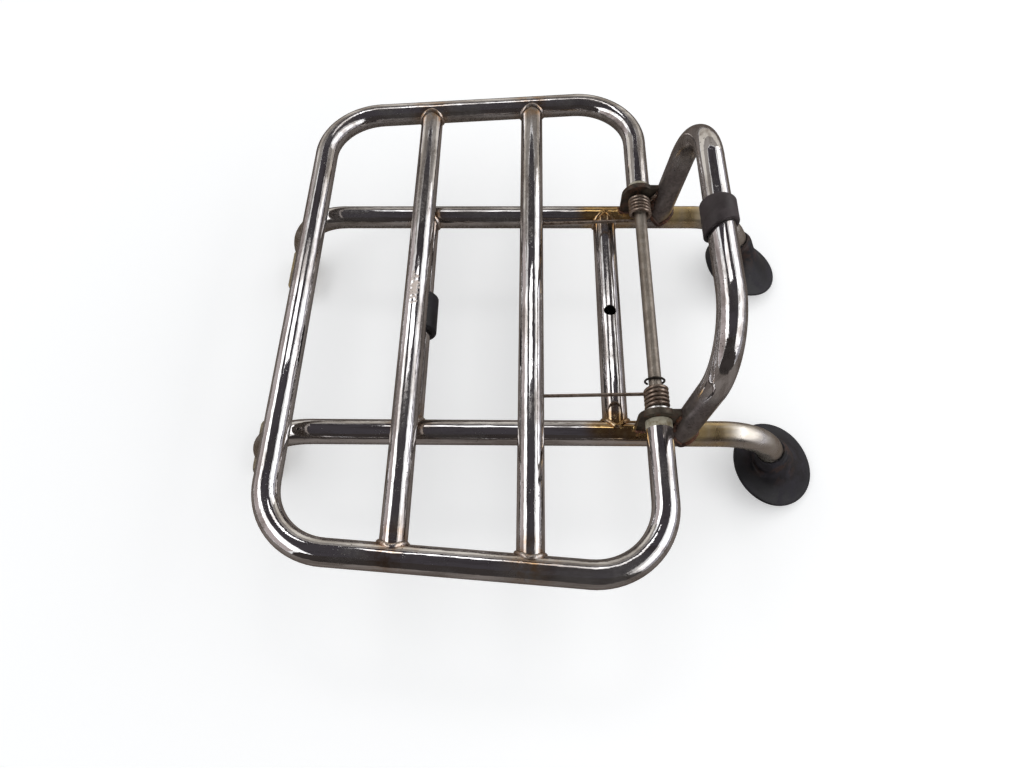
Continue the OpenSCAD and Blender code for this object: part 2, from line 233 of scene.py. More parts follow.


# %% [markdown]
# ## Worn chrome
# Chrome plating is a mirror, so most of what the eye sees on it is the room. What makes it look old sits
# on top. The upper side stays bright. The sides and the underside are painted darker as shade, over a
# dull brown film. On both there are cloudy patches, black pits where damp got through, and rust that starts
# at the welds. Each of those is a mask, and each mask moves the colour, the roughness and the metallic value
# together, because rust is not a metal any more. A mask needs places, so the first step is a list of points
# at which the photograph shows each kind of wear. Most are given for the left and count for the right too.

# %% Where the rack wears
bar_ends = [at(-76, 174, BAR_Z + 6), at(-152, 168, BAR_Z + 6), at(-152, 80, 5), at(-23, 80, 4)]
rusty = [at(-9, 87, 8), at(4, 87, 8), at(13, 88, 8), at(21, 85, 6)]
golden = [at(27, 87, 4), at(38, 87, 3), at(-14, 87, 5), at(-22, 86, 6), at(-32, 85, 6), at(-8, 86, 7)]
bracket_bends = [at(-240, 87, -8), at(-252, 87, -22), at(-256, 87, -38)]
hazy = [at(-78, -178, HINGE_Z + 3), at(-52, -180, HINGE_Z + 3), at(-26, -178, HINGE_Z + 3)]
sooty = [at(17, 87, 12), at(20, 87, 30), at(22, 87, 46)]
satin = [at(30, 87, 4), at(46, 87, 4), at(60, 87, 0), at(72, 87, -9), at(80, 87, -20)]
LEAF = np.array([1, 0.27, 1])
flaked = at(-152.5, 4, BAR_Z + 8) * LEAF


# %% [markdown]
# ## Streaks and masks
# Dirt runs and cloth wipes along a tube, so chrome that ages gets streaks along it and never round it. Noise
# that is squeezed along one axis gives them. Where a bent tube turns the corner the streaks turn with it, so
# two noises are faded into each other at the bend.

# %% The masks of the wear
def streaks(f, ways, turn, shift, scale, detail, squeeze=1.0):
    """Noise drawn out along the tube, by the amount squeeze of the full stretch. ways holds the stretch in
    the middle and, for a tube that turns the corner at the distance turn to either side, the one outside."""
    noises = [f.noise(scale, detail, 0.6, 0.2, f.stretched(*(c ** squeeze for c in way), shift=shift))
              for way in ways]
    if len(noises) == 1:
        return noises[0]
    corner = f.mask(f.sum("ABSOLUTE", f.part(f.place, 1)), turn - 0.014, turn + 0.014)
    return f.between(corner, *noises)


def chrome_wear(f, draw):
    """All masks by name. draw(scale, detail, squeeze) gives streaks along the tube."""
    folded = f.both_sides()
    w = SimpleNamespace(mottle=f.mask(f.noise(420, 4, 0.7), 0.30, 0.70), grain=f.noise(430, 5, 0.7),
                        streak=draw(150, 4), thread=draw(330, 3))
    cloud = f.plus(draw(34, 4, 0.3), f.times(w.streak, 0.5))
    cloud = f.plus(cloud, f.times(f.part(f.place, 1), 0.30))
    edge = f.mask(f.noise(150, 4, 0.7), 0.3, 0.75)
    w.film = f.most(f.mask(cloud, 0.70, 0.90), f.times(f.near(hazy, 26), 0.85))
    # under: the lower sides and the underside, by the way they face; painted shade there, over a dull film
    w.under = f.mask(f.plus(f.part(f.facing, 2), f.times(w.streak, 0.6)), 0.62, 0.12)
    w.pits = f.times(f.mask(f.cells(560), 0.26, 0.12), f.mask(f.noise(48, 3, 0.5), 0.50, 0.62))
    w.stain = f.times(f.near(bar_ends, 20, folded), edge)
    w.rust = f.most(f.mask(f.times(f.near(rusty, 9, folded), f.plus(edge, 0.3)), 0.4, 0.8),
                    f.mask(f.noise(240, 4, 0.75), 0.72, 0.78))
    w.gold = f.times(f.near(golden, 15, folded), f.mask(w.streak, 0.26, 0.54))
    w.olive, w.soot = f.near(bracket_bends, 22, folded), f.near(sooty, 24, folded)
    w.wiped = f.near(satin, 19, folded)
    ragged = f.mask(f.noise(330, 4, 0.7), 0.25, 0.75)
    w.flake = f.mask(f.times(f.near([flaked], 6, f.stretched(*LEAF)), ragged), 0.30, 0.36)
    w.bare = f.most(w.rust, w.flake)
    # the film at half strength, the painted underside shade, the olive and the soot, for roughness and metal
    w.haze = f.most(f.times(w.film, 0.5), w.under, w.olive, w.soot)
    return w


# %% [markdown]
# ## Layers of colour
# An old surface was dirtied in an order: the film came first, stains and pits later, and rust and flaking
# last. So the colour is laid on in that order too, as a list of layers, and each covers what is under it by
# the strength of its mask. Just after the film comes the painted shade on the lower sides and the underside.

# %% The chrome finish
def worn_chrome(name, *ways, turn=0.0, shift=0.0, dull=0.0):
    """Bright plating with a film, painted shade on its lower sides, pits, stains and rust. ways are the
    stretch of its streaks, and dull takes the shine off."""
    f = Finish(name, Specular_Tint=(0.62, 0.57, 0.53))

    def draw(*how):
        return streaks(f, ways, turn, shift, *how)

    def tone(dark, pale):
        return f.mix(w.mottle, dark, pale)

    w = chrome_wear(f, draw)
    colour = f.mix(f.mask(w.streak, 0.42, 0.66, 0, 0.55), (0.80, 0.79, 0.80), (0.32, 0.28, 0.255))
    layers = (
        (w.film, 0.65, tone((0.17, 0.138, 0.118), (0.32, 0.29, 0.265))),
        # painted shade on the lower sides and the underside, over a dull brown film
        (w.under, 0.85, tone((0.10, 0.082, 0.072), (0.21, 0.18, 0.155))),
        (w.olive, 0.85, tone((0.17, 0.13, 0.085), (0.30, 0.24, 0.16))),
        (w.soot, 0.85, tone((0.085, 0.068, 0.066), (0.19, 0.155, 0.15))),
        (w.gold, 0.9, tone((0.50, 0.27, 0.06), (0.74, 0.52, 0.20))),
        (w.stain, 0.95, (0.44, 0.25, 0.10)),
        (w.pits, 0.9, (0.045, 0.035, 0.03)),
        (w.rust, 1.0, f.mix(w.grain, (0.055, 0.018, 0.008), (0.26, 0.10, 0.03))),
        (w.wiped, 0.65, f.mix(w.gold, (0.60, 0.54, 0.44), (0.66, 0.52, 0.27))),
        (w.flake, 1.0, (0.70, 0.60, 0.54)))
    for mask, strength, over in layers:
        colour = f.mix(f.times(mask, strength), colour, over)

    rough = f.mask(f.times(w.haze, f.plus(w.mottle, 0.6)), 0, 1.3, 0.04 + 0.2 * dull, 0.28 + 0.15 * dull)
    rough = f.most(rough, f.times(f.most(w.bare, w.pits), 0.6), f.times(w.wiped, 0.34), f.times(w.soot, 0.42))
    # where the underside shade is painted, the lower metal value darkens it further
    metal = f.sum("SUBTRACT", f.mask(w.haze, 0, 1, 1.0, 0.78), w.bare)
    f.set(Base_Color=colour, Roughness=rough, Metallic=f.most(metal, 0.0))
    waves = f.plus(draw(75, 2, 0.7), f.times(w.thread, 0.34))
    height = f.sum("SUBTRACT", waves, f.times(w.pits, 0.06))
    f.bump(f.plus(height, f.times(f.times(w.bare, w.grain), 0.7)), 0.35, 0.8)
    return f.material


BY_X, BY_Y, BY_Z = (0.10, 1, 1), (1, 0.10, 1), (1, 1, 0.10)
dress(worn_chrome("worn_chrome_loop", BY_Y, BY_X, turn=0.150), "platform_loop")
dress(worn_chrome("worn_chrome_hoop", BY_Y, BY_Z, turn=0.066, shift=7), "hoop")
dress(worn_chrome("worn_chrome_bars", BY_Y, shift=3), "inner_bar", "outer_bar", "front_brace", "rear_brace")
dress(worn_chrome("worn_chrome_arms", BY_X, shift=5), "left_arm", "right_arm")
dull_chrome = worn_chrome("worn_chrome_welds", (1, 1, 1), shift=2, dull=1)

# %% [markdown]
# ## Two ways to make a surface
# Nearly every new piece here is a round section carried along a line, such as spring wire or a weld bead,
# or a section turned round an axis, such as a rubber sleeve. Both give a grid of points, ring after ring,
# which numpy works out for all points at once, so both can share the step from a grid to a mesh.

# %% From a grid of points to a mesh
def skin(name, grid, material, body, replaces=(), loop=False):
    """Joins rings of points (rings, points, 3) into four-cornered faces. loop joins the last ring to the
    first. A ring that shrinks to a point is merged there, so that the skin is closed."""
    rings, points = grid.shape[:2]
    i = np.arange(rings if loop else rings - 1)[:, None]
    j = np.arange(points)[None, :]
    next_i, next_j = (i + 1) % rings, (j + 1) % points
    corners = np.broadcast_arrays(i * points + j, i * points + next_j,
                                  next_i * points + next_j, next_i * points + j)
    mesh = bpy.data.meshes.new(name)
    mesh.from_pydata(grid.reshape(-1, 3).tolist(), [], np.stack(corners, -1).reshape(-1, 4).tolist())
    work = bmesh.new()
    work.from_mesh(mesh)
    bmesh.ops.remove_doubles(work, verts=work.verts, dist=1e-6)
    bmesh.ops.recalc_face_normals(work, faces=work.faces)
    work.to_mesh(mesh)
    work.free()
    mesh.shade_smooth()
    mesh.materials.append(material)
    piece = bpy.data.objects.new(name, mesh)
    bpy.context.scene.collection.objects.link(piece)
    if body:
        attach(piece, body)
    if replaces:
        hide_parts(*replaces)
    print(name, len(mesh.polygons), "faces")
    return piece


def unit(vectors):
    """The same directions with a length of 1."""
    return vectors / np.linalg.norm(vectors, axis=-1, keepdims=True)


def carried(path, radius, across, sides=16, loop=False):
    """A round section carried along a path: point = centre + radius * (cos a * first + sin a * second). first
    and second are square to the path, and first leans towards the direction across. At the ends of an open
    path the radius follows a quarter circle down to nothing, which rounds them."""
    ends = (np.roll(path, -1, 0), np.roll(path, 1, 0)) if loop else (path[1:], path[:-1])
    along = unit(ends[0] - ends[1]) if loop else unit(np.gradient(path, axis=0))
    radius = np.broadcast_to(np.asarray(radius, float), len(path))
    across = np.broadcast_to(np.asarray(across, float), path.shape)
    if not loop:
        turn = np.linspace(0, np.pi / 2, 6)[:-1]

        def cap(point, way, r):
            return point - way * r * np.cos(turn)[:, None], r * np.sin(turn)

        def longer(rows):
            return np.pad(rows, ((len(turn), len(turn)), (0, 0)), "edge")

        p0, r0 = cap(path[0], along[0], radius[0])
        p1, r1 = cap(path[-1], -along[-1], radius[-1])
        path = np.concatenate([p0, path, p1[::-1]])
        radius = np.concatenate([r0, radius, r1[::-1]])
        along, across = longer(along), longer(across)
    first = unit(across - (across * along).sum(1, keepdims=True) * along)
    second = np.cross(along, first)
    a = np.linspace(0, 2 * np.pi, sides, endpoint=False)[None, :, None]
    return path[:, None] + radius[:, None, None] * (np.cos(a) * first[:, None] + np.sin(a) * second[:, None])


def arc(centre, radius, start, end, steps=6):
    """Points of a circle's arc as (across, out) pairs: centre + radius * (cos a, sin a), a in degrees."""
    a = np.radians(np.linspace(start, end, steps))
    return np.array(centre) + radius * np.stack([np.cos(a), np.sin(a)], 1)


# %% [markdown]
# ## Rubber
# Rubber that has stood outside goes from black to a dusty purple-grey, dull, with paler scuffs where it is
# handled and brown smears where rust has run over it. The section of each piece is drawn as a line of
# points and turned round its tube, so that the lips come out round.

# %% The rubber finish
def old_rubber(name, black=(0.010, 0.009, 0.011), dusty=(0.032, 0.028, 0.038)):
    """Black rubber under dust, with pale scuffs, and with brown smears where the feet grip the tubes."""
    f = Finish(name, Specular_IOR_Level=0.35)
    dust = f.mask(f.noise(75, 5, 0.65, 0.4), 0.42, 0.68)
    scuff = f.mask(f.noise(300, 4, 0.7), 0.62, 0.74)
    by_the_tube = f.near([at(86, 87, -34)], 24, f.both_sides())
    brown = f.times(f.mask(f.noise(110, 4, 0.6, 0.6), 0.46, 0.62), by_the_tube)
    colour = f.mix(f.times(dust, 0.7), black, dusty)
    colour = f.mix(f.times(scuff, 0.3), colour, (0.09, 0.08, 0.09))
    colour = f.mix(f.times(brown, 0.6), colour, (0.075, 0.035, 0.022))
    f.set(Base_Color=colour, Roughness=f.mask(dust, 0, 1, 0.48, 0.72))
    f.bump(f.plus(f.noise(900, 3, 0.6), f.times(f.noise(60, 2), 2.0)), 0.12, 0.5)
    return f.material


rubber = old_rubber("old_rubber")
brown_rubber = old_rubber("brown_rubber", (0.030, 0.022, 0.023), (0.070, 0.055, 0.058))
print("rubber:", rubber.name, brown_rubber.name)

# %% [markdown]
# ## The sleeves
# Two short lengths of rubber hose stop the platform from rattling: one on the front brace, where the
# folded platform rests, and one on the hoop. Hose that was cut with a knife has flat ends with a soft edge,
# and the hoop's sleeve was cut at a slant. So the section is a flat ring with rounded corners, and the
# slant moves each point along the tube by an amount that depends on where it is round the tube.

# %% Sleeves on the front brace and on the hoop
def sleeve(name, node, material, centre, wall, low, high, slant=0.0, columns=72):
    """A hose along Y round centre = (x, z): (r cos a, y, r sin a), with (y, r) from the section. Its right
    end lies at low + slant * (distance from the middle along X)."""
    inner, outer, lip = TUBE_R + 0.05, TUBE_R + wall, min(1.1, wall * 0.4)
    length = high - low
    section = np.concatenate([
        [[0, inner]], arc((lip, outer - lip), lip, 180, 90), arc((length - lip, outer - lip), lip, 90, 0),
        [[length, inner]]])
    a = np.linspace(0, 2 * np.pi, columns, endpoint=False)
    y, r = section[:, 0, None], section[:, 1, None]
    swell = 1 + 0.012 * np.sin(2 * a + 0.6) * (r > inner)
    x, z = r * swell * np.cos(a), r * swell * np.sin(a)
    y = low + y + slant * x * (1 - y / length)
    return skin(name, at(centre[0] + x, y, centre[1] + z), material, "frame", (node,), loop=True)


def fitted(node):
    """The middle (x, z), the wall and the two ends along Y of a sleeve's solid, in millimetres."""
    low, high = (c[1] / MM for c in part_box(node))
    spot = (middle(node) - ORIGIN) / MM
    return (spot[0], spot[2]), extent(node)[2] / 2 / MM - TUBE_R, low, high


HOOP_SLEEVE_LOW, HOOP_SLEEVE_CUT = -8.5, math.radians(24)
sleeve("brace_sleeve_rubber", "brace_sleeve", rubber, *fitted("brace_sleeve"))
centre, wall, _, high = fitted("hoop_sleeve")
sleeve("hoop_sleeve_rubber", "hoop_sleeve", brown_rubber, centre, wall, HOOP_SLEEVE_LOW, high,
       slant=math.tan(HOOP_SLEEVE_CUT))

# %% [markdown]
# ## The feet
# Each arm ends in a rubber foot like a suction cup: a neck that grips the tube, a cone, and a thin wide rim
# that leans to lie flat on the bodywork. The neck follows the tube and the rim follows the ground, so the
# two have different axes. A turned section has only one, so the wall between them is a blend: rings on
# the tube's axis above, rings on the rim's axis below, and a Bernstein curve through them.

# %% Feet
BEND_X, BEND_R, TAIL = 42, 41, math.radians(70)


def on_bend(depth):
    """Place and direction of the tube's middle at a depth below its bend. Above it, at a negative depth, the
    middle follows the bend's circle: (BEND_X + BEND_R sin t, y, -BEND_R (1 - cos t))."""
    angle = TAIL + min(depth, 0) / BEND_R
    along = np.array([math.cos(angle), 0, -math.sin(angle)])
    bend = np.array([BEND_X + BEND_R * math.sin(angle), ARM_Y, -BEND_R * (1 - math.cos(angle))])
    return bend + max(depth, 0) * along, along


def foot(name, node, side, mouth, slip, columns=96):
    """Wall: sum of the control rings, each weighted by its Bernstein polynomial. A ring is centre + radius *
    (cos a * first + sin a * second), with first and second square to the tube or to the rim's own axis. mouth
    is the neck's top, and slip is how far the rim sits askew towards the middle of the rack."""
    lean, splay, reach = math.radians(15.5), math.radians(4.5), 23
    up = np.array([math.cos(splay) * math.sin(lean), math.sin(splay), math.cos(splay) * math.cos(lean)])
    rim = on_bend(reach)[0] - np.array([0, slip, 0])
    a = np.linspace(0, 2 * np.pi, columns, endpoint=False)[:, None]

    def ring(centre, axis, radius, wobble=0.0):
        first = unit(np.cross([0, 1, 0], axis))
        second = np.cross(axis, first)
        r = radius * (1 + wobble * np.sin(3 * a + 1) + 0.5 * wobble * np.sin(5 * a))
        return centre + r * (np.cos(a) * first + np.sin(a) * second)

    def on_tube(depth, radius):
        centre, along = on_bend(depth)
        return ring(centre, -along, radius)

    def on_rim(height, radius, wobble=0.0):
        return ring(rim + height * up, up, radius, wobble)

    lip = [on_tube(mouth + 0.8 - out, r) for r, out in arc((8.9, 0), 0.8, 180, 0, 9)]
    inside = [on_tube(6, 8.1), on_tube(mouth + 1.6, 8.1)]
    control = np.array([
        on_tube(mouth + 1.6, 9.8), on_tube(2.2, 12.2), on_tube(5.5, 12.6), on_tube(10, 10.9),
        on_tube(14.5, 11.7), on_rim(4.6, 16.5), on_rim(3.6, 20), on_rim(1.2, 23.5), on_rim(0.4, 28.0, 0.004)])
    t = np.linspace(0, 1, 26)[:, None]
    n = len(control) - 1
    weights = np.concatenate([comb(n, k) * t ** k * (1 - t) ** (n - k) for k in range(n + 1)], 1)
    wall = np.einsum("tk,kij->tij", weights, control)
    edge = [on_rim(h, r, 0.004) for r, h in arc((28.0, -0.7), 1.0, 75, -80, 6)]
    hollow = ((-4.2, 26.4), (-5, 25.6), (-5, 21.5), (-4.6, 20.9), (-1, 20), (-1, 0))
    under = [on_rim(height, radius) for height, radius in hollow]
    rings = np.concatenate([np.array(inside), np.array(lip), wall, np.array(edge), np.array(under)])
    rings[..., 1] *= side
    return skin(name, at(*np.moveaxis(rings, -1, 0)), rubber, "frame", (node,))


foot("left_foot_rubber", "left_foot", 1, -1.5, 7)
foot("right_foot_rubber", "right_foot", -1, -1.0, 0)

# %% [markdown]
# ## Springs
# Two torsion springs on the hinge rod pull the platform down. A spring is one wire: a long leg that lies
# under the platform's bar, close turns round the rod, and a short leg that props against the hoop. A helix
# is easy to write as a formula, so the wire's middle is one line of points.

# %% Spring wire finish and path
def spring_wire(name):
    """Steel wire gone brown, with paler rubbed patches here and there."""
    f = Finish(name, Metallic=0.85)
    spots = f.mask(f.noise(420, 4, 0.7), 0.42, 0.66)
    run = f.noise(120, 3, 0.6)
    colour = f.mix(spots, (0.36, 0.285, 0.235), (0.15, 0.10, 0.072))
    colour = f.mix(f.mask(run, 0.5, 0.7, 0, 0.6), colour, (0.52, 0.43, 0.36))
    f.set(Base_Color=colour, Roughness=f.mask(spots, 0, 1, 0.3, 0.48))
    f.bump(f.noise(700, 3, 0.6), 0.06, 0.5)
    return f.material


wire_steel = spring_wire("brown_spring_wire")
WIRE_R, COIL_R = 1.1, 6.6


def spring(name, node, side, start, y_end, first, last, reach, tilt=0.0):
    """Coil: (COIL_R * cos a, y, COIL_R * sin a) round the rod, while a turns from first to last and y goes
    from start to y_end. tilt brings the top of the inner turns forward. The legs are straight, and the short
    one is as long as reach."""
    a = np.radians(np.linspace(first, last, int((last - first) / 8)))
    t = np.linspace(0, 1, len(a))
    y = start + (y_end - start) * t - tilt * (1 - t) * (1 + np.sin(a)) / 2
    coil = np.stack([COIL_R * np.cos(a), y, COIL_R * np.sin(a)], 1)
    below_bar = BAR_Z - HINGE_Z - (TUBE_R + WIRE_R + 0.3)
    tip = np.array([place_x("inner_bar") - TUBE_R / 2, start, below_bar])
    long_leg = tip + np.linspace(0, 1, 12)[:-1, None] * (coil[0] - tip)
    leave = np.array([-np.sin(a[-1]), 0, np.cos(a[-1])])
    path = np.concatenate([long_leg, coil, coil[-1] + np.linspace(0, reach, 7)[1:, None] * leave])
    path = at(path[:, 0], side * path[:, 1], HINGE_Z + path[:, 2])
    piece = skin(name, carried(path, WIRE_R * MM, (0, 1, 0), 12), wire_steel, None, (node,))
    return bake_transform(piece, "frame", "platform", start=at(0, side * y_end, HINGE_Z),
                    end=at(0, side * start, HINGE_Z))


spring("left_spring_wire", "left_spring", 1, 71, 83.6, -88, -31 + 360 * 5, 9.9, tilt=2.4)
spring("right_spring_wire", "right_spring", -1, 67, 80.3, -88, 240 + 360 * 4, 11.5)

# %% [markdown]
# ## The loose ring
# An open ring of thin blackened wire hangs on the rod. It was bent by hand and sits askew, so its circle
# is tipped out of the rod's cross plane and its two ends don't meet.

# %% Ring
def black_wire(name):
    """Thin wire, black with brown spots."""
    f = Finish(name, Metallic=0.6, Roughness=0.4)
    f.set(Base_Color=f.mix(f.mask(f.noise(500, 3), 0.4, 0.7), (0.012, 0.010, 0.009), (0.045, 0.032, 0.024)))
    return f.material


RING_R, RING_WIRE_R, RING_Y, HANG = 5.9, 0.7, -61, 1.15
a = np.radians(np.linspace(-48, 228, 60))[:, None]
tip_over = math.radians(-5)
ring_first = np.array([1, 0, 0])
ring_second = np.array([0, math.sin(tip_over), math.cos(tip_over)])
ring_path = at(0, RING_Y, HINGE_Z - HANG) + RING_R * MM * (np.cos(a) * ring_first + np.sin(a) * ring_second)
skin("rod_ring_wire", carried(ring_path, RING_WIRE_R * MM, np.cross(ring_first, ring_second), 10),
     black_wire("black_wire"), "frame", ("rod_ring",))

# %% [markdown]
# ## Weld beads
# Where one tube meets another, the welder leaves a bead in the corner, and the whole rack was plated
# afterwards, so most beads are chrome too. A bead follows the line where the two tubes meet. For each
# angle round the branching tube there is one point on that line: start on the branch's wall and go along
# the branch until the distance to the other tube's axis is that tube's radius. That is a quadratic.

# %% Weld beads between tubes
def meeting_line(origin, branch, main, above=0.0, columns=72):
    """The line where a tube that leaves origin along branch meets the tube along main, whose axis may lie
    above. q is a point round the branch, and t solves |(q + t * branch - axis) across main| = radius. Where
    the branch passes below the other tube nothing solves it, so t is never under 2.5 times above."""
    branch, main = unit(np.array(branch, float)), unit(np.array(main, float))
    first = unit(np.cross(branch, main))
    second = np.cross(branch, first)
    a = np.linspace(0, 2 * np.pi, columns, endpoint=False)[:, None]
    out = np.cos(a) * first + np.sin(a) * second
    q = TUBE_R * 0.985 * out
    lift = q - np.array([0, 0, above])
    qa, ba = lift - (lift @ main)[:, None] * main, branch - (branch @ main) * main
    b, c = qa @ ba, (qa ** 2).sum(1) - TUBE_R ** 2
    t = (-b + np.sqrt(np.maximum(b * b - (ba @ ba) * c, 0))) / (ba @ ba)
    return np.array(origin) + q + np.maximum(t, 2.5 * above)[:, None] * branch, out


def ripple(count, amount, columns=72):
    """Radius along a bead: 1 plus two waves of different length, as if it was laid down drop by drop."""
    a = np.linspace(0, 2 * np.pi, columns, endpoint=False)
    return 1 + amount * (np.sin(count * a) + 0.6 * np.sin((2 * count + 1) * a + 1.3))


def tube_bead(name, origin, branch, main, body, radius=1.7, above=0.0, material=dull_chrome):
    """A closed bead along the line where two tubes meet."""
    line, out = meeting_line(origin, branch, main, above)
    path = at(*line.T)
    bead = carried(path, radius * MM * ripple(9, 0.04), out, 12, loop=True)
    return skin(name, bead, material, body, loop=True)


flank = unit(np.array([-FLANK_RUN, -FLANK_RISE, 0.0]))
for side, word in ((1, "left"), (-1, "right")):
    for brace in ("front_brace", "rear_brace"):
        joint = (place_x(brace), side * ARM_Y, 0)
        tube_bead(f"{word}_{brace}_bead", joint, (0, -side, 0), (1, 0, 0), "frame")
    for bar in ("inner_bar", "outer_bar"):
        x = place_x(bar)
        tube_bead(f"{word}_{bar}_bead", (x, side * (FLANK_Y + x * FLANK_RISE / FLANK_RUN), BAR_Z),
                  (0, -side, 0), (flank[0], side * flank[1], 0), "platform", above=HINGE_Z - BAR_Z)

# %% [markdown]
# ## Ears and their welds
# An ear is a plate that stands on each arm and carries the hinge rod. It was never chromed: it is dark
# olive steel with brown rust, and its weld is a lumpy dark red bead along its foot and up the hoop's leg.

# %% Ear, bead and rod finishes
def rusty_steel(name, dark, pale, rust, how_rusty, metal=0.7):
    """Bare steel: two tones of the metal in clouds, and rust where fine and coarse noise agree."""
    f = Finish(name)
    cloud = f.mask(f.noise(95, 5, 0.65, 0.5), 0.38, 0.66)
    fine = f.noise(520, 4, 0.7)
    coarse = f.mask(f.noise(130, 4, 0.6, 0.8), 0.62 - how_rusty, 0.74 - how_rusty)
    patch = f.times(coarse, f.mask(fine, 0.3, 0.6))
    f.set(Base_Color=f.mix(patch, f.mix(cloud, dark, pale), rust), Metallic=f.mask(patch, 0, 1, metal, 0.1),
          Roughness=f.mask(fine, 0.3, 0.7, 0.34, 0.62))
    f.bump(fine, 0.12, 0.6)
    return f.material


ear_steel = rusty_steel("olive_steel", (0.040, 0.031, 0.024), (0.115, 0.095, 0.072),
                        (0.085, 0.036, 0.018), 0.12)
bead_rust = rusty_steel("rusted_bead", (0.040, 0.018, 0.012), (0.095, 0.050, 0.032),
                        (0.16, 0.06, 0.028), 0.16, 0.3)
dress(ear_steel, "left_ear", "right_ear")

# %% [markdown]
# ## Lumpy beads
# These welds were made in one go, with a lump where the welder stopped at the hoop's leg. They are open
# paths and not closed lines, so their ends are rounded. Two waves of different length and one hump make the
# lumps. The hoop's own bead is as rusty as they are, because water stands in that corner.

# %% Beads along the ears and round the hoop's legs
def ear_bead(name, side, face):
    """Along the ear's foot and up its edge to the hoop's leg. Along the foot the bead lies on the arm, at the
    height square root of (radius squared - distance from the arm's middle squared)."""
    half, hump, hump_length = 40, 47, 8
    foot_x, leg_z, y = np.linspace(-11, 7, half), np.linspace(11, 28, half), np.full(half, face)
    bulge = math.sqrt(TUBE_R ** 2 - face ** 2)
    low = np.stack([foot_x, y, np.full(half, bulge)], 1)
    leg = np.stack([HOOP_X + math.tan(HOOP_LEAN) * leg_z - bulge - 0.2, y, leg_z], 1)
    path = np.concatenate([low, leg])
    step = np.arange(2 * half)
    lumps = 1 + 0.16 * np.sin(step * 1.1) + 0.1 * np.sin(step * 2.7 + 1)
    lumps += 1.2 * np.exp(-((step - hump) / hump_length) ** 2)
    path = at(path[:, 0], side * (ARM_Y + path[:, 1]), path[:, 2])
    bead = carried(path, 1.35 * MM * lumps, (0, side * (1 if face > 0 else -1), 0.2), 10)
    return skin(name, bead, bead_rust, "frame")


for side, word in ((1, "left"), (-1, "right")):
    ear_bead(f"{word}_ear_outer_bead", side, 2)
    ear_bead(f"{word}_ear_inner_bead", side, -2)
    tube_bead(f"{word}_hoop_bead", (HOOP_X, side * ARM_Y, 0), (math.sin(HOOP_LEAN), 0, math.cos(HOOP_LEAN)),
              (1, 0, 0), "frame", 1.8, material=bead_rust)

# %% [markdown]
# ## Rod, collar, bushes and brackets
# These keep their solids, because plain turned and folded shapes are right as they are. Only their
# finishes differ: a satin tan rod, a bright collar, bushes of aged cream plastic, and brackets plated in
# yellow zinc that has gone dull.

# %% Finishes of the small parts
rod_steel = rusty_steel("satin_rod", (0.26, 0.225, 0.19), (0.36, 0.32, 0.275),
                        (0.15, 0.085, 0.045), -0.02, 0.9)
dress(rod_steel, "hinge_rod")
collar_steel = Finish("satin_collar", Base_Color=(0.8, 0.78, 0.76), Metallic=1.0, Roughness=0.3)
dress(collar_steel.material, "spring_collar")


def cream_plastic(name):
    """Plastic gone from white to cream, with brown grime."""
    f = Finish(name, Specular_IOR_Level=0.4)
    grime = f.mask(f.noise(240, 4, 0.65, 0.3), 0.40, 0.68)
    f.set(Base_Color=f.mix(grime, (0.52, 0.48, 0.37), (0.27, 0.22, 0.14)),
          Roughness=f.mask(grime, 0, 1, 0.42, 0.6))
    f.bump(f.noise(600, 2), 0.05, 0.4)
    return f.material


def yellow_zinc(name):
    """Zinc plating in two dull tones, with patches of its old yellow."""
    f = Finish(name)
    cloud = f.mask(f.noise(120, 5, 0.6, 0.5), 0.36, 0.62)
    glow = f.mask(f.noise(45, 2, 0.5), 0.45, 0.62)
    colour = f.mix(cloud, (0.33, 0.28, 0.20), (0.20, 0.165, 0.115))
    colour = f.mix(f.times(glow, 0.6), colour, (0.50, 0.37, 0.16))
    f.set(Base_Color=colour, Metallic=0.75, Roughness=f.mask(cloud, 0, 1, 0.34, 0.52))
    f.bump(f.noise(420, 3, 0.6), 0.08, 0.5)
    return f.material


zinc = yellow_zinc("dull_yellow_zinc")
dress(cream_plastic("aged_cream_plastic"), "left_bush", "right_bush")
dress(zinc, "left_bracket", "right_bracket")

# %% [markdown]
# ## Beads on the brackets
# An arm ends square on its bracket, so the weld round it is a plain circle. It was plated with the bracket.

# %% Beads on the brackets
ARM_END_X, BRACKET_TOP_Z, BEAD_CIRCLE = -254, -47.6, 8.2
a = np.linspace(0, 2 * np.pi, 72, endpoint=False)
out = np.stack([np.cos(a), np.sin(a), 0 * a], 1)
for side, word in ((1, "left"), (-1, "right")):
    path = at(ARM_END_X + BEAD_CIRCLE * out[:, 0], side * ARM_Y + BEAD_CIRCLE * out[:, 1], BRACKET_TOP_Z)
    bead = carried(path, 1.2 * MM * ripple(11, 0.12), out, 12, loop=True)
    skin(f"{word}_bracket_bead", bead, zinc, "frame", loop=True)

# %% [markdown]
# ## Floor and world
# The photograph shows the rack cut out on white. The floor and the world are white to the camera and to
# reflections, while the soft light from the world stays at a plain level and the floor keeps the shadow.

# %% World and floor
def is_seen(tree):
    """1 for camera, glossy and transmission rays, which are the rays that look at a background."""
    rays = tree.nodes.new("ShaderNodeLightPath")
    seen = rays.outputs["Is Camera Ray"]
    for kind in ("Is Glossy Ray", "Is Transmission Ray"):
        either = tree.nodes.new("ShaderNodeMath")
        either.operation = "MAXIMUM"
        tree.links.new(seen, either.inputs[0])
        tree.links.new(rays.outputs[kind], either.inputs[1])
        seen = either.outputs[0]
    return seen


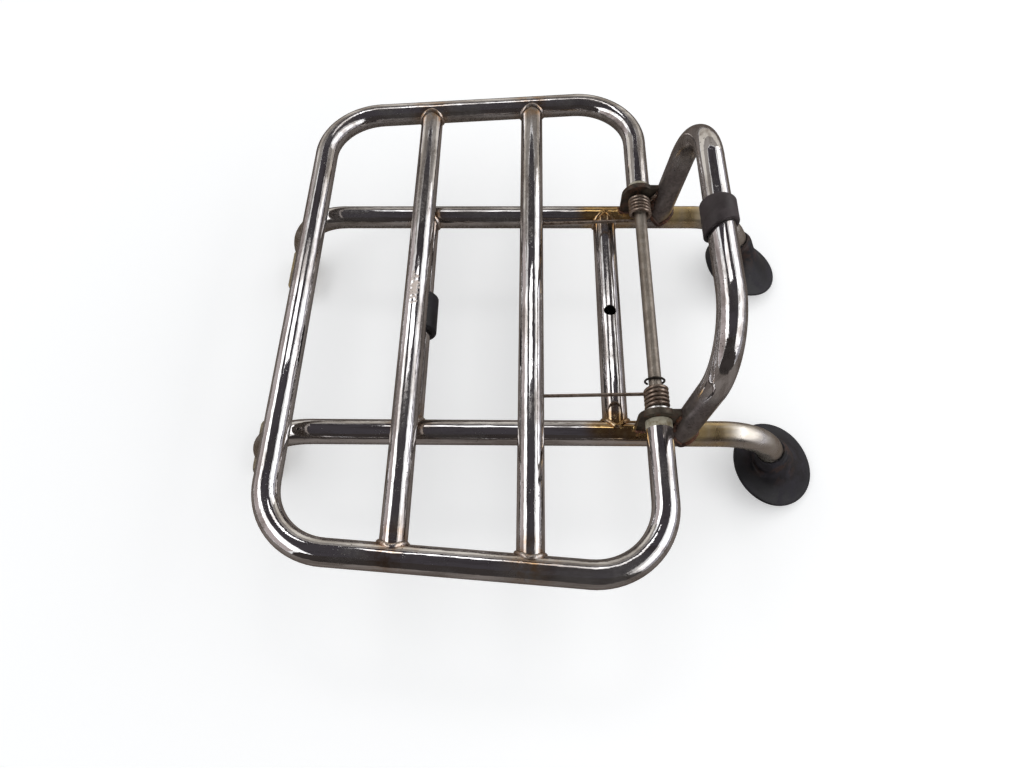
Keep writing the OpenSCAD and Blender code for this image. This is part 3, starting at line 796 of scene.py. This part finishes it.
world = bpy.data.worlds.new("studio")
bpy.context.scene.world = world
world.use_nodes = True
wt = world.node_tree
wt.nodes.clear()
kinds = ("Background", "Background", "MixShader", "OutputWorld")
soft, white, blend, output = (wt.nodes.new("ShaderNode" + kind) for kind in kinds)
soft.inputs["Color"].default_value = (0.96, 0.98, 1, 1)
soft.inputs["Strength"].default_value = 0.5
white.inputs["Color"].default_value = (1, 1, 1, 1)
wt.links.new(is_seen(wt), blend.inputs[0])
wt.links.new(soft.outputs[0], blend.inputs[1])
wt.links.new(white.outputs[0], blend.inputs[2])
wt.links.new(blend.outputs[0], output.inputs[0])


def flat_card(name, corners, material):
    """A four-cornered sheet that belongs to the studio and not to the rack."""
    mesh = bpy.data.meshes.new(name)
    mesh.from_pydata([tuple(c) for c in corners], [], [(0, 1, 2, 3)])
    mesh.materials.append(material)
    card = bpy.data.objects.new(name, mesh)
    bpy.context.scene.collection.objects.link(card)
    return card


floor_paint = Finish("pale_floor", Base_Color=(0.86, 0.86, 0.86), Roughness=0.9, Specular_IOR_Level=0.05,
                     Emission_Color=(1.0, 1.0, 1.0))
floor_paint.set(Emission_Strength=floor_paint.times(is_seen(floor_paint.tree), 0.36))
flat_card("floor", [(-6, -6, 0), (6, -6, 0), (6, 6, 0), (-6, 6, 0)], floor_paint.material)
print("world and floor made")

# %% [markdown]
# ## Lamps
# In the photograph the tubes show a dark room with a bright window to each side, and a thinner light beyond
# the rack. Two long soft lamps stand in for the windows and a narrow one for the light beyond. A lamp that is
# long along the tubes gives each of them one even highlight.

# %% Lamps
def lamp(name, azimuth, height, distance, wide, long, power, roll=0.0, aim=(0, 0, 0.05)):
    """A long soft light at an azimuth (0 is +X, 90 is +Y) and a height above the floor, both in degrees. Its
    place is aim + distance * (cos a cos h, sin a cos h, sin h)."""
    light = bpy.data.lights.new(name, "AREA")
    light.shape, light.size, light.size_y, light.energy = "RECTANGLE", wide, long, power
    a, h = math.radians(azimuth), math.radians(height)
    way = Vector((math.cos(a) * math.cos(h), math.sin(a) * math.cos(h), math.sin(h)))
    place = Vector(aim) + distance * way
    holder = bpy.data.objects.new(name, light)
    turn = (Vector(aim) - place).to_track_quat("-Z", "Y").to_matrix().to_4x4()
    holder.matrix_world = Matrix.Translation(place) @ turn @ Matrix.Rotation(math.radians(roll), 4, "Z")
    holder.visible_camera = False
    bpy.context.scene.collection.objects.link(holder)
    print(name, power, "W")


lamp("window_left", 180, 45.5, 2.13, 0.72, 3.0, 8.8, roll=90)
lamp("window_right", 0, 32, 1.45, 0.82, 3.0, 10.0, roll=90)
lamp("strip_far", 95, 58.4, 2.29, 0.9, 0.40, 2.4)

# %% [markdown]
# ## Cards
# Chrome needs something dark to mirror, or it vanishes on white. So cards stand above and round the table, as
# a photographer of cutlery sets them up: near black above and in front, pale at the sides and low beyond the
# rack. Only reflections see them, so the light on the rack stays plain and soft.

# %% Cards that only reflections see
def card(name, centre, across, along, colour):
    """A sheet given by its centre and its two half sides, which glows faintly in its own colour."""
    c, a, b = (np.array(v, float) for v in (centre, across, along))
    paper = Finish(name, Base_Color=(0.0, 0.0, 0.0), Emission_Color=colour, Emission_Strength=1.0,
                   Specular_IOR_Level=0.0)
    sheet = flat_card(name, [c - a - b, c + a - b, c + a + b, c - a + b], paper.material)
    sheet.visible_camera = sheet.visible_diffuse = sheet.visible_shadow = sheet.visible_transmission = False


cards = (
    ("card_above", (0, 0.25, 2.2), (1.32, 0, 0), (0, 2.2, 0), (0.058, 0.052, 0.058)),
    ("card_near", (0, -1.95, 1.1), (1.9, 0, 0), (0, 0, 1.1), (0.045, 0.038, 0.036)),
    ("card_far", (0, 2.45, 0.62), (2.6, 0, 0), (0, 0, 0.52), (0.74, 0.70, 0.63)),
    ("card_far_above", (0, 2.46, 1.65), (2.6, 0, 0), (0, 0, 0.52), (0.34, 0.315, 0.29)),
    ("card_below", (0, 0, 0.0004), (2.4, 0, 0), (0, 2.4, 0), (0.21, 0.185, 0.17)),
    ("card_left", (-2.6, 0, 1.02), (0, 2.4, 0), (0, 0, 0.95), (0.50, 0.44, 0.43)),
    ("card_right", (2.2, 0, 0.75), (0, 2.2, 0), (0, 0, 0.70), (0.44, 0.43, 0.47)))
for row in cards:
    card(*row)
print(len(cards), "cards")

# %% [markdown]
# ## Camera
# The camera was found by matching the outlines of the straight tubes and bends in the photograph, so its
# place, its direction and its lens are plain numbers here.

# %% Camera
camera = bpy.data.objects.new("camera", bpy.data.cameras.new("camera"))
FOCAL_PIXELS, PICTURE_WIDTH, SENSOR_WIDTH = 723.65, 1024, 36
EYE = at(-77.786, -272.84, 413.802)
camera.data.sensor_width = SENSOR_WIDTH
camera.data.lens = FOCAL_PIXELS / PICTURE_WIDTH * SENSOR_WIDTH
camera.data.clip_start, camera.data.clip_end = 0.01, 50
ahead = Vector((-0.02226757, 0.46993482, -0.88242021)).normalized()
right = Vector((0.99974007, 0.01478653, -0.0173535)).normalized()
above = right.cross(ahead)
turned = Matrix((right, above, -ahead)).transposed().to_4x4()
camera.matrix_world = Matrix.Translation(EYE) @ turned
bpy.context.scene.collection.objects.link(camera)
bpy.context.scene.camera = camera
bpy.context.scene.view_settings.view_transform = "Standard"
print("camera at", [round(c, 3) for c in camera.location])

# %% [markdown]
# ## Finish
# New pieces may be rounder than the solids but never larger than the rack.

# %% Update the scene and finish
bpy.context.view_layer.update()
